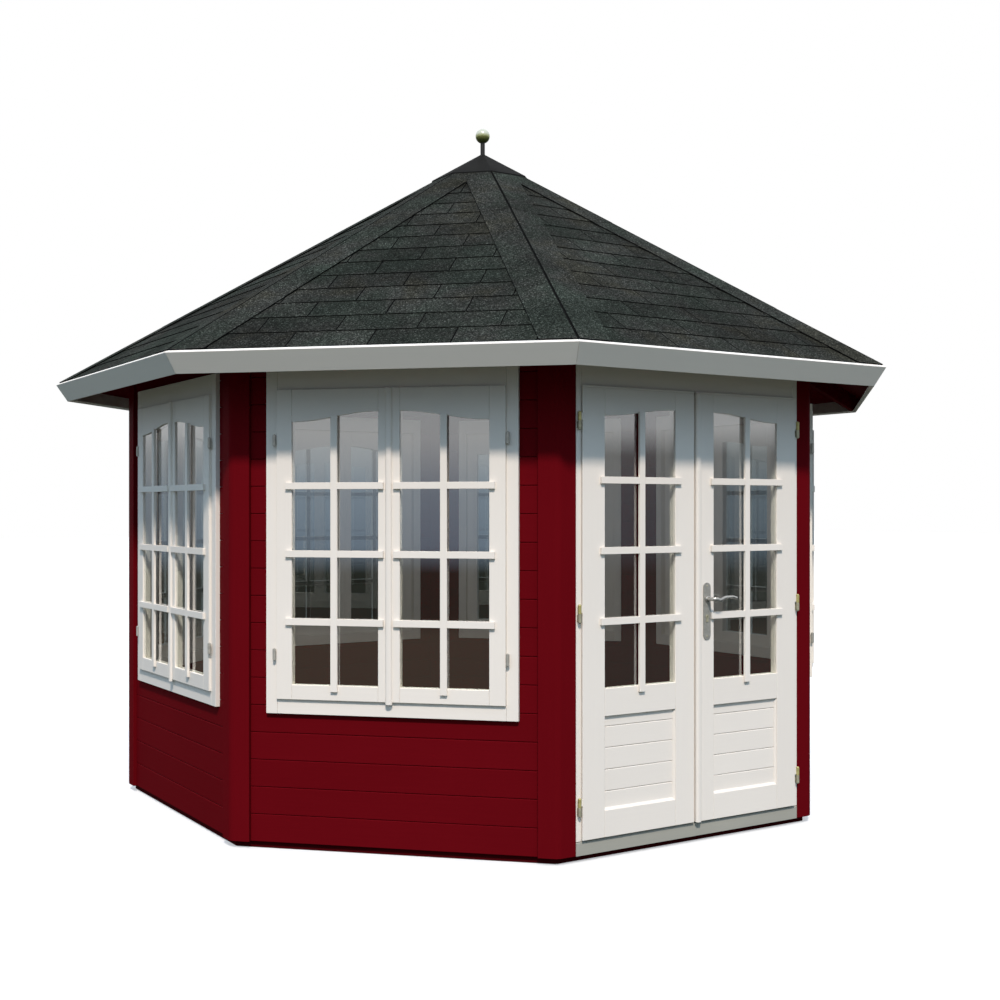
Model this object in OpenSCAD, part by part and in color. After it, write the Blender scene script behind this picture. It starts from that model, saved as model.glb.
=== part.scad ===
// Eight-sided garden gazebo with glazed walls, a double door and a pyramid roof.
// Millimetres. The origin is on the ground at the centre, +Z is up and the door faces -Y.

/* [Plan] */
// Centre to the flat side of the base frame
base_apothem = 1650; // [1500:10:1900]
// Height of the base frame
base_h = 28; // [20:1:60]
// Width of the base frame's timbers
base_w = 70; // [60:1:110]
// How far the wall boards stand out over the base frame
board_overhang = 17; // [5:1:25]
// Width of a floor joist
joist_w = 60; // [40:1:90]
// Distance between floor joists
joist_pitch = 480; // [350:10:600]
// Thickness of the floor boards
floor_t = 18; // [15:1:30]

/* [Walls] */
// Thickness of the wall boards
wall_t = 44; // [36:1:60]
// Top of the wall boards above the ground
wall_top = 2110; // [2080:5:2200]
// How far the posts stand proud of the wall boards
post_proud = 16; // [8:1:24]
// Width of each of the two outer faces of a post
post_face = 85; // [65:1:110]
// Height of the wall plate at its outer face
plate_h = 104; // [80:1:140]

/* [Windows] */
// Width of the wall boards left on each side of a window frame
window_side = 77; // [50:1:150]
// Underside of a window frame above the ground
window_bottom = 569; // [500:1:650]
// Top of the window and door frames above the ground
frame_top = 2000; // [1900:1:2040]
// How far the window and door frames stand proud of the wall boards
frame_proud = 18; // [10:1:26]
// Width of a window frame's upright
frame_stile = 50; // [40:1:60]
// Height of a window frame's bottom rail
frame_sill = 62; // [50:1:80]
// Height of the top rail of the window and door frames
frame_head = 88; // [60:1:100]
// How far sashes and door leaves stand proud of their frames
sash_proud = 12; // [6:1:18]
// Thickness of a sash
sash_t = 44; // [34:1:50]
// Width of a sash's outer stile
sash_stile = 67; // [50:1:80]
// Width of a sash's meeting stile
sash_meeting = 46; // [40:1:70]
// Height of a sash's bottom rail
sash_sill = 61; // [50:1:80]
// Least height of a sash's top rail, at the meeting stile
sash_head = 95; // [70:1:120]
// Rise of the curved top of a sash opening
sash_rise = 40; // [25:1:60]
// Thickness of the glass
glass_t = 6; // [4:1:10]
// Depth of the glass behind the outer face of a sash or leaf
glass_set = 7; // [5:1:20]

/* [Door] */
// Width of a door jamb beside the leaves
jamb_w = 27; // [20:1:40]
// Height of the threshold
threshold_h = 57; // [40:1:80]
// Running gap around the leaves
leaf_gap = 5; // [5:0.5:8]
// Gap between the two leaves
meeting_gap = 8; // [8:0.5:12]
// How far the door stop reaches in behind the leaves
stop_w = 25; // [15:1:35]
// Thickness of a leaf
leaf_t = 44; // [36:1:50]
// Width of a leaf's stiles
leaf_stile = 102; // [85:1:120]
// Height of a leaf's bottom rail
leaf_sill = 109; // [80:1:130]
// Height of the panel in the lower part of a leaf
panel_h = 380; // [300:1:420]
// Depth of the panel below the faces of a leaf
panel_recess = 12; // [6:1:15]
// Height of a leaf's middle rail
leaf_mid = 112; // [90:1:150]
// Least height of a leaf's top rail, at the meeting stile
leaf_head = 76; // [60:1:100]
// Rise of the curved top of a leaf's glass
leaf_rise = 34; // [20:1:50]

/* [Ironmongery] */
// Height of a hinge
hinge_h = 70; // [60:1:100]
// Radius of a hinge barrel
barrel_r = 7.5; // [7:0.5:9]
// Radius of a hinge pin
pin_r = 4; // [3:0.5:5]
// Length of a hinge pin above the lower knuckle
pin_len = 28; // [20:1:29]
// Width of the pad that carries a hinge's lower knuckle
hinge_pad = 10; // [8:1:12]
// Thickness of the arm that joins a hinge's upper knuckle to its leaf
hinge_arm = 5; // [4:0.5:6]
// Distance from the end of a leaf to the middle of a hinge
hinge_inset = 135; // [110:1:200]
// Height of the lever's spindle above the ground
lever_z = 1035; // [950:1:1100]
// Distance from the meeting edge of a leaf to the spindle
backset = 61; // [50:1:70]
// Width of a handle plate
plate_w = 40; // [34:1:50]
// Length of a handle plate
plate_len = 243; // [200:1:280]
// Thickness of a handle plate
plate_t = 4; // [3:0.5:6]
// Distance from the top of a handle plate to the spindle
plate_above = 69; // [50:1:90]
// Radius of the spindle
spindle_r = 8; // [6:0.5:10]
// Reach of the lever from the spindle
lever_len = 138; // [110:1:160]
// Height and depth of the lever bar
lever_bar = 16; // [12:1:20]
// Clear space for the fingers behind the lever
lever_stand = 36; // [30:1:50]

/* [Roof] */
// Slope of the roof in degrees
roof_pitch = 32; // [25:1:38]
// Thickness of the roof boards and shingles together
roof_t = 24; // [18:1:32]
// Reach of the roof's edge beyond the post faces
eave_out = 324; // [250:2:400]
// Height of a fascia board, square to the slope
fascia_h = 97; // [90:1:120]
// Thickness of a fascia board
fascia_t = 18; // [14:1:25]
// Width of a hip rafter
rafter_w = 44; // [36:1:60]
// Upright depth of a hip rafter
rafter_h = 90; // [70:1:100]
// Centre to the flat side of the king block at the peak
king_apothem = 75; // [65:1:100]
// Height of the king block
king_h = 240; // [200:5:300]
// Centre to the upper edge of the roof panels
peak_hole = 30; // [20:1:40]
// Centre to the flat side of the roof cap
cap_apothem = 251; // [200:1:320]
// Thickness of the roof cap
cap_t = 10; // [6:1:16]
// Radius of the finial's rod
rod_r = 12; // [8:0.5:14]
// Radius of the finial's ball
ball_r = 38; // [30:1:50]
// Height of the ball's centre above the top of the cap
ball_up = 92; // [70:1:130]

/* [Hidden] */

// Clearance between pieces that are seated on each other
fit = 0.3;
// Radial clearance of a pin or spindle in its bore
running = 0.05;
// Clearance of the spindle in the wood of the leaf
spindle_room = 2;
// How far a cutting shape runs past what it cuts
past = 20;
// Straight pieces in each curved top
ogee_steps = 12;
// Straight pieces in a circle
round_steps = 48;

sides = 8;
turn = 360 / sides;
half_turn = turn / 2;
window_bays = [1 : sides - 1];
all_bays = [0 : sides - 1];

// Distances from the centre, square to a wall
wall_outer = base_apothem + board_overhang;
wall_inner = wall_outer - wall_t;
post_outer = wall_outer + post_proud;
frame_face = wall_outer + frame_proud;
sash_face = frame_face + sash_proud;
sash_back = sash_face - sash_t;
leaf_face = sash_face;
leaf_back = leaf_face - leaf_t;
stop_face = leaf_back - leaf_gap;

// Sideways distances along a wall from its middle
bay_half = post_outer * tan(half_turn) - post_face;
bay_fill = bay_half - fit;
window_w = 2 * (bay_half - window_side);
sash_edge = window_w / 2 - frame_stile;
jamb_edge = bay_fill - jamb_w;
leaf_edge = jamb_edge - leaf_gap;
leaf_meet = meeting_gap / 2;
spindle_u = leaf_meet + backset;

// Heights
sash_bottom = window_bottom + frame_sill;
sash_top = frame_top - frame_head;
threshold_top = base_h + threshold_h;
leaf_bottom = threshold_top + leaf_gap;
leaf_top = sash_top - leaf_gap;
panel_bottom = leaf_bottom + leaf_sill;
panel_top = panel_bottom + panel_h;
leaf_glass_bottom = panel_top + leaf_mid;

// Hinge line of a leaf, in front of the jamb with the barrels flush with its outer edge
hinge_u = bay_fill - barrel_r;
hinge_d = frame_face + leaf_gap + barrel_r;
hinge_low = leaf_bottom + hinge_inset;
hinge_high = leaf_top - hinge_inset;
hinge_heights = [hinge_low, (hinge_low + hinge_high) / 2, hinge_high];

// Roof planes, all parallel to the top of the shingles
roof_seat = wall_top + plate_h;
peak_z = roof_seat + roof_t / cos(roof_pitch) + post_outer * tan(roof_pitch);
eave_d = post_outer + eave_out;
tail_back = fascia_t + fit;
roof_under = roof_t + fit;
far_d = eave_d + past;
cap_peak = roof_z(0, -cap_t - fit);
king_top = roof_z(king_apothem / cos(half_turn), roof_under);

red = [0.36, 0.04, 0.06];
white = [0.87, 0.84, 0.81];
clear = [0.75, 0.85, 0.88, 0.35];
charcoal = [0.18, 0.18, 0.18];
brass = [0.55, 0.55, 0.31];
steel = [0.6, 0.6, 0.58];
brown = [0.24, 0.19, 0.16];

// Height of a plane that lies depth below the top of the shingles, at distance d from the centre
function roof_z(d, depth = 0) = peak_z - depth / cos(roof_pitch) - d * tan(roof_pitch);

// Point at the eave: back up the slope from the edge, and down square to it
function eave(back, down) = [
    eave_d - back * cos(roof_pitch) - down * sin(roof_pitch),
    roof_z(eave_d) + back * sin(roof_pitch) - down * cos(roof_pitch)
];

// Height of the underside of the roof along a hip, r from the centre
function hip_z(r) = roof_z(r * cos(half_turn), roof_under);

// Outline of a glazed opening with a curved top that rises from its outer to its inner side
function glazed_outline(inner, outer, bottom, low, high) = concat(
    [[inner, bottom], [outer, bottom]],
    [for (i = [0 : ogee_steps])
        [outer + (inner - outer) * i / ogee_steps,
         low + (high - low) * (1 - cos(180 * i / ogee_steps)) / 2]]
);

// Turns a piece made for the door wall to another wall
module bay(k) rotate([0, 0, -turn * k]) children();

// Turns a piece made for the door wall to the corner after wall k
module corner(k) rotate([0, 0, -turn * k - half_turn]) children();

// Block between sideways limits u, distances d from the centre and heights z
module block(u, d, z)
    translate([u[0], -d[1], z[0]]) cube([u[1] - u[0], d[1] - d[0], z[1] - z[0]]);

// Extrudes an outline drawn in distance and height along the wall
module along_wall(width) rotate([90, 0, -90]) linear_extrude(width, center = true) children();

// Extrudes an outline drawn sideways and in height, outwards from distance d
module outwards(d, depth) translate([0, -d, 0]) rotate([90, 0, 0]) linear_extrude(depth) children();

// Upright prism over the plan of one roof side
module roof_side() {
    tip = fit / 2 / sin(half_turn);
    reach = (far_d - tip) * tan(half_turn);
    linear_extrude(cap_peak) polygon([[0, -tip], [reach, -far_d], [-reach, -far_d]]);
}

module octagon(apothem) rotate(half_turn) circle(r = apothem / cos(half_turn), $fn = sides);

// Space under the roof boards of one side
module under_roof() along_wall(2 * far_d)
    polygon([[0, 0], [0, roof_z(0, roof_under)], [far_d, roof_z(far_d, roof_under)], [far_d, 0]]);

// Space under the roof boards and inside the fascia of one side
module rafter_room() {
    lower = eave(tail_back, fascia_h);
    along_wall(2 * far_d) polygon([
        [0, lower[1]], [0, roof_z(0, roof_under)], eave(tail_back, roof_under), lower
    ]);
}

module base_frame() color(charcoal) linear_extrude(base_h) difference() {
    octagon(base_apothem);
    octagon(base_apothem - base_w);
}

module floor_joists() color(brown) {
    inner = base_apothem - base_w - fit;
    count = floor((inner - joist_w) / joist_pitch);
    intersection() {
        linear_extrude(base_h - fit) octagon(inner);
        for (i = [-count : count])
            translate([i * joist_pitch - joist_w / 2, -inner, 0]) cube([joist_w, 2 * inner, base_h]);
    }
}

module floor_boards() color(brown)
    translate([0, 0, base_h]) linear_extrude(floor_t) octagon(wall_inner - fit);

// Half of a post's section, at the right end of a wall
module post_half() {
    corner_out = post_outer * tan(half_turn);
    corner_in = wall_inner * tan(half_turn);
    polygon([[bay_half, -post_outer], [corner_out, -post_outer], [corner_in, -wall_inner],
        [bay_half, -wall_inner]]);
}

module rafter_slot(k) {
    near = (wall_inner - past) / cos(half_turn);
    far = (post_outer + past) / cos(half_turn);
    seat = rafter_h + fit;
    corner(k) along_wall(rafter_w + 2 * fit)
        polygon([[near, hip_z(near) - seat], [far, hip_z(far) - seat], [far, peak_z], [near, peak_z]]);
}

module corner_post(k) difference() {
    intersection() {
        translate([0, 0, base_h]) linear_extrude(peak_z - base_h) union() {
            bay(k) mirror([1, 0]) post_half();
            bay(k + 1) post_half();
        }
        bay(k) under_roof();
        bay(k + 1) under_roof();
    }
    rafter_slot(k);
}

module corner_posts() color(red) for (k = all_bays) corner_post(k);

module window_wall(k) color(red) bay(k) difference() {
    block([-bay_fill, bay_fill], [wall_inner, wall_outer], [base_h, wall_top]);
    block([-window_w / 2 - fit, window_w / 2 + fit], [wall_inner - past, wall_outer + past],
        [window_bottom - fit, frame_top + fit]);
}

module front_left_wall() window_wall(1);
module left_wall() window_wall(2);
module back_left_wall() window_wall(3);
module back_wall() window_wall(4);
module back_right_wall() window_wall(5);
module right_wall() window_wall(6);
module front_right_wall() window_wall(7);

module door_head_wall() color(red)
    block([-bay_fill, bay_fill], [wall_inner, wall_outer], [frame_top + fit, wall_top]);

// One straight plate over each wall, bevelled to carry the roof boards
module wall_plates() color(red) for (k = all_bays) bay(k) along_wall(2 * bay_fill)
    polygon([[wall_inner, wall_top], [wall_inner, roof_z(wall_inner, roof_under)],
        [post_outer, roof_z(post_outer, roof_under)], [post_outer, wall_top]]);

module window_frame() outwards(wall_inner, frame_face - wall_inner) difference() {
    translate([-window_w / 2, window_bottom]) square([window_w, frame_top - window_bottom]);
    translate([-sash_edge - fit, sash_bottom - fit])
        square([2 * (sash_edge + fit), sash_top - sash_bottom + 2 * fit]);
}

module window_frames() color(white) for (k = window_bays) bay(k) window_frame();

// Glazed opening of the sash on the right of a window, drawn in by inset
module sash_opening(inset) polygon(glazed_outline(sash_meeting + inset, sash_edge - sash_stile - inset,
    sash_bottom + sash_sill + inset, sash_top - sash_head - sash_rise - inset,
    sash_top - sash_head - inset));

module sash() outwards(sash_back, sash_t) difference() {
    translate([fit / 2, sash_bottom]) square([sash_edge - fit / 2, sash_top - sash_bottom]);
    sash_opening(0);
}

module window_left_sashes() color(white) for (k = window_bays) bay(k) mirror([1, 0, 0]) sash();

module window_right_sashes() color(white) for (k = window_bays) bay(k) sash();

module window_glass() color(clear) for (k = window_bays) bay(k) for (side = [0, 1])
    mirror([side, 0, 0]) outwards(sash_face - glass_set - glass_t, glass_t) sash_opening(fit);

// Jambs and head that stand on the threshold, with a stop behind the leaves
module door_frame() color(white) difference() {
    block([-bay_fill, bay_fill], [wall_inner, frame_face], [threshold_top, frame_top]);
    block([-jamb_edge, jamb_edge], [stop_face, frame_face + past], [threshold_top - past, sash_top]);
    block([-jamb_edge + stop_w, jamb_edge - stop_w], [wall_inner - past, frame_face + past],
        [threshold_top - past, sash_top - stop_w]);
}

module door_threshold() color(steel)
    block([-bay_fill, bay_fill], [wall_inner, frame_face], [base_h, threshold_top]);

// Glazed opening of the leaf on the right, drawn in by inset
module leaf_opening(inset) polygon(glazed_outline(leaf_meet + leaf_stile + inset,
    leaf_edge - leaf_stile - inset, leaf_glass_bottom + inset,
    leaf_top - leaf_head - leaf_rise - inset, leaf_top - leaf_head - inset));

// The leaf on the right: stiles and rails round a glazed opening and a sunk panel
module leaf() difference() {
    outwards(leaf_back, leaf_t) difference() {
        translate([leaf_meet, leaf_bottom]) square([leaf_edge - leaf_meet, leaf_top - leaf_bottom]);
        leaf_opening(0);
    }
    for (face = [leaf_back - past, leaf_face - panel_recess])
        block([leaf_meet + leaf_stile, leaf_edge - leaf_stile], [face, face + past + panel_recess],
            [panel_bottom, panel_top]);
}

module leaf_glass() color(clear)
    outwards(leaf_face - glass_set - glass_t, glass_t) leaf_opening(fit);

module left_leaf() color(white) mirror([1, 0, 0]) leaf();

module left_leaf_glass() mirror([1, 0, 0]) leaf_glass();

module right_leaf() color(white) difference() {
    leaf();
    translate([spindle_u, 0, lever_z]) rotate([90, 0, 0])
        cylinder(r = spindle_r + spindle_room, h = leaf_face + past, $fn = round_steps);
}

module right_leaf_glass() leaf_glass();

// Lower knuckle with its pin, and the pad that fixes it to the jamb
module frame_hinge(z) {
    low = z - hinge_h / 2;
    translate([hinge_u, -hinge_d, low]) {
        cylinder(r = barrel_r, h = hinge_h / 2 - fit, $fn = round_steps);
        cylinder(r = pin_r, h = hinge_h / 2 + pin_len, $fn = round_steps);
    }
    difference() {
        block([hinge_u - hinge_pad / 2, hinge_u + hinge_pad / 2], [frame_face, hinge_d], [low, z - fit]);
        translate([hinge_u, -hinge_d, low - past])
            cylinder(r = barrel_r - fit, h = hinge_h, $fn = round_steps);
    }
}

module frame_hinges() color(brass) for (z = hinge_heights) {
    frame_hinge(z);
    mirror([1, 0, 0]) frame_hinge(z);
}

// Upper knuckle with its bore, and the arm that fixes it to the edge of the leaf
module leaf_hinge(z) difference() {
    union() {
        translate([hinge_u, -hinge_d, z]) cylinder(r = barrel_r, h = hinge_h / 2, $fn = round_steps);
        block([leaf_edge, hinge_u], [leaf_face - hinge_arm, leaf_face], [z, z + hinge_h / 2]);
    }
    translate([hinge_u, -hinge_d, z - past])
        cylinder(r = pin_r + running, h = past + pin_len + fit, $fn = round_steps);
}

module left_leaf_hinges() color(brass) for (z = hinge_heights) mirror([1, 0, 0]) leaf_hinge(z);

module right_leaf_hinges() color(brass) for (z = hinge_heights) leaf_hinge(z);

// Plates on both faces of the right leaf that carry the spindle
module handle_plates() color(steel) difference() {
    for (d = [leaf_back - plate_t, leaf_face])
        block([spindle_u - plate_w / 2, spindle_u + plate_w / 2], [d, d + plate_t],
            [lever_z + plate_above - plate_len, lever_z + plate_above]);
    translate([spindle_u, 0, lever_z]) rotate([90, 0, 0])
        cylinder(r = spindle_r + running, h = leaf_face + past, $fn = round_steps);
}

// Spindle through the leaf with a lever on each end
module handle_lever() color(steel) {
    bar_in = leaf_back - plate_t - lever_stand - lever_bar;
    bar_out = leaf_face + plate_t + lever_stand;
    translate([spindle_u, -bar_in, lever_z]) rotate([90, 0, 0])
        cylinder(r = spindle_r, h = bar_out + lever_bar - bar_in, $fn = round_steps);
    for (d = [bar_in, bar_out]) {
        outwards(d, lever_bar) translate([spindle_u, lever_z - lever_bar / 2])
            square([lever_len - lever_bar / 2, lever_bar]);
        outwards(d, lever_bar) translate([spindle_u + lever_len - lever_bar / 2, lever_z])
            circle(r = lever_bar / 2, $fn = round_steps);
    }
}

module hip_rafter(k) {
    near = king_apothem + fit;
    far = far_d / cos(half_turn);
    intersection() {
        corner(k) along_wall(rafter_w) polygon([[near, hip_z(near) - rafter_h], [near, hip_z(near)],
            [far, hip_z(far)], [far, hip_z(far) - rafter_h]]);
        bay(k) rafter_room();
        bay(k + 1) rafter_room();
    }
}

module hip_rafters() color(red) for (k = all_bays) hip_rafter(k);

module king_block() color(red) translate([0, 0, king_top - king_h])
    linear_extrude(king_h) rotate(half_turn) octagon(king_apothem);

module roof_panel(k) color(charcoal) bay(k) intersection() {
    along_wall(2 * far_d) polygon([[peak_hole, roof_z(peak_hole, roof_t)], [peak_hole, roof_z(peak_hole)],
        eave(tail_back, 0), eave(tail_back, roof_t)]);
    roof_side();
}

module front_roof_panel() roof_panel(0);
module front_left_roof_panel() roof_panel(1);
module left_roof_panel() roof_panel(2);
module back_left_roof_panel() roof_panel(3);
module back_roof_panel() roof_panel(4);
module back_right_roof_panel() roof_panel(5);
module right_roof_panel() roof_panel(6);
module front_right_roof_panel() roof_panel(7);

module fascia_boards() color(white) for (k = all_bays) bay(k) intersection() {
    along_wall(2 * far_d)
        polygon([eave(0, 0), eave(0, fascia_h), eave(fascia_t, fascia_h), eave(fascia_t, 0)]);
    roof_side();
}

// Eight-sided cone with its tip at height peak
module pyramid(apothem, peak) {
    h = apothem * tan(roof_pitch);
    translate([0, 0, peak - h]) rotate(half_turn)
        cylinder(r1 = apothem / cos(half_turn), r2 = 0, h = h, $fn = sides);
}

module roof_cap() color(charcoal) difference() {
    pyramid(cap_apothem, cap_peak);
    pyramid(cap_apothem + past, roof_z(0, -fit));
    translate([0, 0, king_top]) cylinder(r = rod_r + fit, h = cap_peak, $fn = round_steps);
}

// Rod that stands on the king block, with a ball on top
module finial() color(brass) {
    ball_z = cap_peak + ball_up;
    translate([0, 0, king_top]) cylinder(r = rod_r, h = ball_z - king_top, $fn = round_steps);
    translate([0, 0, ball_z]) sphere(r = ball_r, $fn = round_steps);
}

base_frame();
floor_joists();
floor_boards();
corner_posts();
front_left_wall();
left_wall();
back_left_wall();
back_wall();
back_right_wall();
right_wall();
front_right_wall();
door_head_wall();
wall_plates();
window_frames();
window_left_sashes();
window_right_sashes();
window_glass();
door_frame();
door_threshold();
left_leaf();
left_leaf_glass();
right_leaf();
right_leaf_glass();
frame_hinges();
left_leaf_hinges();
right_leaf_hinges();
handle_plates();
handle_lever();
hip_rafters();
king_block();
front_roof_panel();
front_left_roof_panel();
left_roof_panel();
back_left_roof_panel();
back_roof_panel();
back_right_roof_panel();
right_roof_panel();
front_right_roof_panel();
fascia_boards();
roof_cap();
finial();
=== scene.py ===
"""Looks of the eight-sided garden gazebo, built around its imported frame. Metres, +Z up, door at -Y."""
import random
from math import atan2, ceil, cos, degrees, dist, hypot, pi, radians, sin, sqrt, tan, tau

import bmesh
import bpy
from mathutils import Matrix, Vector


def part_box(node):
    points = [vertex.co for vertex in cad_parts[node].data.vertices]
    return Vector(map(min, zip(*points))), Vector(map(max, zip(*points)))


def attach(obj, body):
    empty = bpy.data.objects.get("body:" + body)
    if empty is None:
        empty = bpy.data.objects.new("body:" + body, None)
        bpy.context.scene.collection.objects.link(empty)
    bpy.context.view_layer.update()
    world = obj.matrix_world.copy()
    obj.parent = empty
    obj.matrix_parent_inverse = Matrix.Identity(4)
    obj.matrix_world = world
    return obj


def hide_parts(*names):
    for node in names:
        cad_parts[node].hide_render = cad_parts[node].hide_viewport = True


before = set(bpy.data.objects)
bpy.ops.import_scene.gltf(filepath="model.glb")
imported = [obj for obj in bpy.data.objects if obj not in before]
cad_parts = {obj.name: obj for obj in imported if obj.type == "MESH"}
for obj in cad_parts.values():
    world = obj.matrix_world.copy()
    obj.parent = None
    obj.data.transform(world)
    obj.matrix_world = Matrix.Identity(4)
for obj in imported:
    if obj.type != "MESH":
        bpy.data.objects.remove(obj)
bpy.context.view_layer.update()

# Walls: bay 0 holds the door, and the next bay lies to its left seen from outside
SIDES = 8
TURN = 2 * pi / SIDES
HALF = TURN / 2
TAN_HALF = tan(HALF)
BAY_NAMES = ("front", "front_left", "left", "back_left", "back", "back_right", "right", "front_right")
WINDOW_BAYS = range(1, SIDES)

# Sizes read off the frame. The back wall faces +Y, so its box gives distances from the centre
(_, WALL_INNER, WALL_BASE), (BAY_FILL, WALL_OUTER, WALL_TOP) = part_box("back_wall")
(_, _, FRAME_BOTTOM), (_, FRAME_FACE, FRAME_TOP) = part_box("window_frames")
(_, _, SASH_BOTTOM), (_, SASH_FACE, SASH_TOP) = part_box("window_left_sashes")
POST_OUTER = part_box("corner_posts")[1][0]
BASE_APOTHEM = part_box("base_frame")[1][0]
BASE_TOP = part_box("base_frame")[1][2]
FLOOR_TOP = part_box("floor_boards")[1][2]
(LEAF_MEET, LEAF_OUT, LEAF_BOTTOM), (LEAF_EDGE, LEAF_IN, LEAF_TOP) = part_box("right_leaf")
LEAF_FACE, LEAF_BACK = -LEAF_OUT, -LEAF_IN
(_, _, THRESHOLD_BOTTOM), (_, _, THRESHOLD_TOP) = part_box("door_threshold")
EAVE_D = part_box("fascia_boards")[1][0]
CAP_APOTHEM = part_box("roof_cap")[1][0]
BALL_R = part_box("finial")[1][0]
BALL_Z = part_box("finial")[1][2] - BALL_R

# Clearance between seated pieces, and the line left between timbers that meet flush
FIT = 0.0003
JOINT = 0.0003
# Steps round holes and turned parts, and the least angle between points of a rim
HOLE_STEPS = 24
ROUND = 32
SMALL_ROUND = 16
RIM_APART = 0.02
# How far metal reaches into what carries it, and what counts as no distance
SUNK = 0.001
NEAR = 1e-9

# Tone of pieces that aren't boards, and the longest random shift of the grain
MID_TONE = 0.5
GRAIN_SHIFT = 9

# Angle that makes an edge sharp, and how far edges are rounded
SHARP = radians(35)
SILL_EDGE = 0.0008
BEAD_EDGE = 0.001
FINE_EDGE = 0.0012
PLANK_EDGE = 0.0015
JOINERY_EDGE = 0.0018
TRIM_EDGE = 0.002
BAR_EDGE = 0.0025
BOARD_EDGE = 0.003
PANEL_EDGE = 0.0035

# Windows, along the wall from its middle and across the joinery
WINDOW_HALF = 0.53512
FRAME_STILE = 0.050
SASH_EDGE = WINDOW_HALF - FRAME_STILE
SASH_STILE = 0.067
SASH_MEETING = 0.046
SASH_SILL = 0.061
SASH_HEAD = 0.095
SASH_RISE = 0.040
SASH_T = 0.044
SASH_BACK = SASH_FACE - SASH_T

# Door leaves
LEAF_STILE = 0.102
LEAF_SILL = 0.109
PANEL_H = 0.380
PANEL_RECESS = 0.012
LEAF_MID = 0.112
LEAF_HEAD = 0.076
LEAF_RISE = 0.034
LEAF_GAP = 0.005
JAMB_EDGE = LEAF_EDGE + LEAF_GAP
LIP_W = 0.009
LIP_T = 0.007
STOP_W = 0.025
PANEL_LINES = (0.273, 0.361, 0.449, 0.536)
PANEL_GROOVE = 0.0006
BEAD = 0.009
NOSE_R = 0.008
GROOVE_W = 0.008
GROOVE_H = 0.004
GROOVE_SLANT = 0.002

# Index that sets how strongly the panes mirror
PANE_IOR = 2.75

# Glazing bars, laid over the glass and lapped onto the wood round it
BAR_W = 0.028
BAR_LAP = 0.0245
BAR_PROUD = 0.012
BAR_TOP = 0.004
# Thickness of the dark layer on the backs of the bars, which is painted shade
BAR_SHADE_LAYER = 0.002
ASTRAGAL_W = 0.029
ASTRAGAL_PROUD = 0.011
ASTRAGAL_DROP = 0.009
ASTRAGAL_LAP = 0.001
WINDOW_BAR_Z = (0.953, 1.233, 1.513)
DOOR_BAR_Z = (0.963, 1.249, 1.535)
OGEE_STEPS = 20

# Handle and hinges. Turned outlines are (radius, along the axis)
SPINDLE_U = 0.065
SPINDLE_Z = 1.035
SPINDLE_HOLE = 0.012
SPINDLE_HALF = 0.004
PLATE_W = 0.040
PLATE_LEN = 0.243
PLATE_ABOVE = 0.069
PLATE_T = 0.004
PLATE_HOLE = 0.0083
KEY_DROP = -0.075
KEY_SLOT = ((-0.0008, 0.0008), (KEY_DROP - 0.005, KEY_DROP + 0.004))
KEY_SLOT_T = 0.0002
LOCK_R = 0.0085
LOCK_ARC = (-54, 234)
LOCK_HALF = 0.005
LOCK_LEN = 0.0245
LOCK_OUT = 0.0025
SCREW_IN = 0.014
SCREW_HEAD = ((0.0, -SUNK), (0.0040, -SUNK), (0.0040, 0.0006), (0.0032, 0.0014), (0.0018, 0.0018),
              (0.0, 0.0019))
HANDLE_LAP = 0.019
LEVER_D = LEAF_FACE + 0.048
LEVER_CLEAR = 0.0008
LEVER_COLLAR = ((0.0079, 0.0006), (0.0125, 0.0006), (0.0130, 0.002), (0.0122, 0.0055), (0.0100, 0.0070),
                (0.0079, 0.0072))
LEVER_ROUND = 20
NECK_R = 0.0078
LEVER_BEND = 0.016
BEND_STEPS = 8
GRIP_TALL = 0.0096
GRIP_TAPER = 0.0030
GRIP_DEEP = 0.0064
TIP_START = 0.94
TIP_LEAST = 0.15
LEVER_LEN = 0.134
LEVER_STEPS = 40
# Rise of the lever's middle line at shares of its length
LEVER_WAVE = ((0.0, 0.0), (0.12, -0.0045), (0.45, 0.0058), (0.72, 0.007), (1.0, 0.001))
WINDOW_HINGE_Z = (0.816, 1.702)
WINDOW_HINGE_OUT = 0.009
WINDOW_HINGE_OFF = 0.001
# Upper half of a window hinge
WINDOW_BARREL = ((0.0058, 0.0004), (0.0070, 0.0004), (0.0070, 0.023), (0.0034, 0.023), (0.0022, 0.026),
                 (0.0, 0.027))
HINGE_R = 0.0075
HINGE_HALF = 0.035
HINGE_ARM = 0.005
HINGE_TIP = 0.004

# Base, boards and posts
BASE_W = 0.070
BOARD_START = 0.030
BOARD_PITCH = 0.114
BOARD_LEAST = 0.01
BOARD_GROOVE = 0.0015
BOARD_FACE_T = 0.014
FLOOR_PITCH = 0.120
ARRIS_R = 0.045
ARRIS_STEPS = 8
RAFTER_SLOT = 0.0446
FORK_Z = 2.122

# Roof
PITCH = radians(32)
ROOF_T = 0.024
FASCIA_T = 0.018
FASCIA_H = 0.097
EAVE_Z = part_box("fascia_boards")[1][2] - FASCIA_T * sin(PITCH)
PEAK_Z = EAVE_Z + EAVE_D * tan(PITCH)
PRONG_GAP = 0.001
PRONG_TOP = PEAK_Z - (ROOF_T + PRONG_GAP) / cos(PITCH) - POST_OUTER * tan(PITCH)
PEAK_HOLE = 0.030
DECK_PITCH = 0.100
DECK_GAP = 0.0004
FELT_N = 0.0076
FELT_T = 0.0014
FELT_GAP = 0.0001
SHINGLE_T = 0.0036
EXPOSURE = 0.147
TAB_W = 1 / 3
TAB_LAP = 0.010
TAB_JOG = 0.0015
SLIT_W = 0.004
SLIT_SPREAD = (0.8, 1.25)
TAB_TONES = (0.08, 0.60)
HIP_TONES = (0.50, 0.76)
HIP_BAND = 0.150
HIP_PIECE = 1.0
HIP_START = -0.4
HIP_SEAM = 0.004
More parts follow.
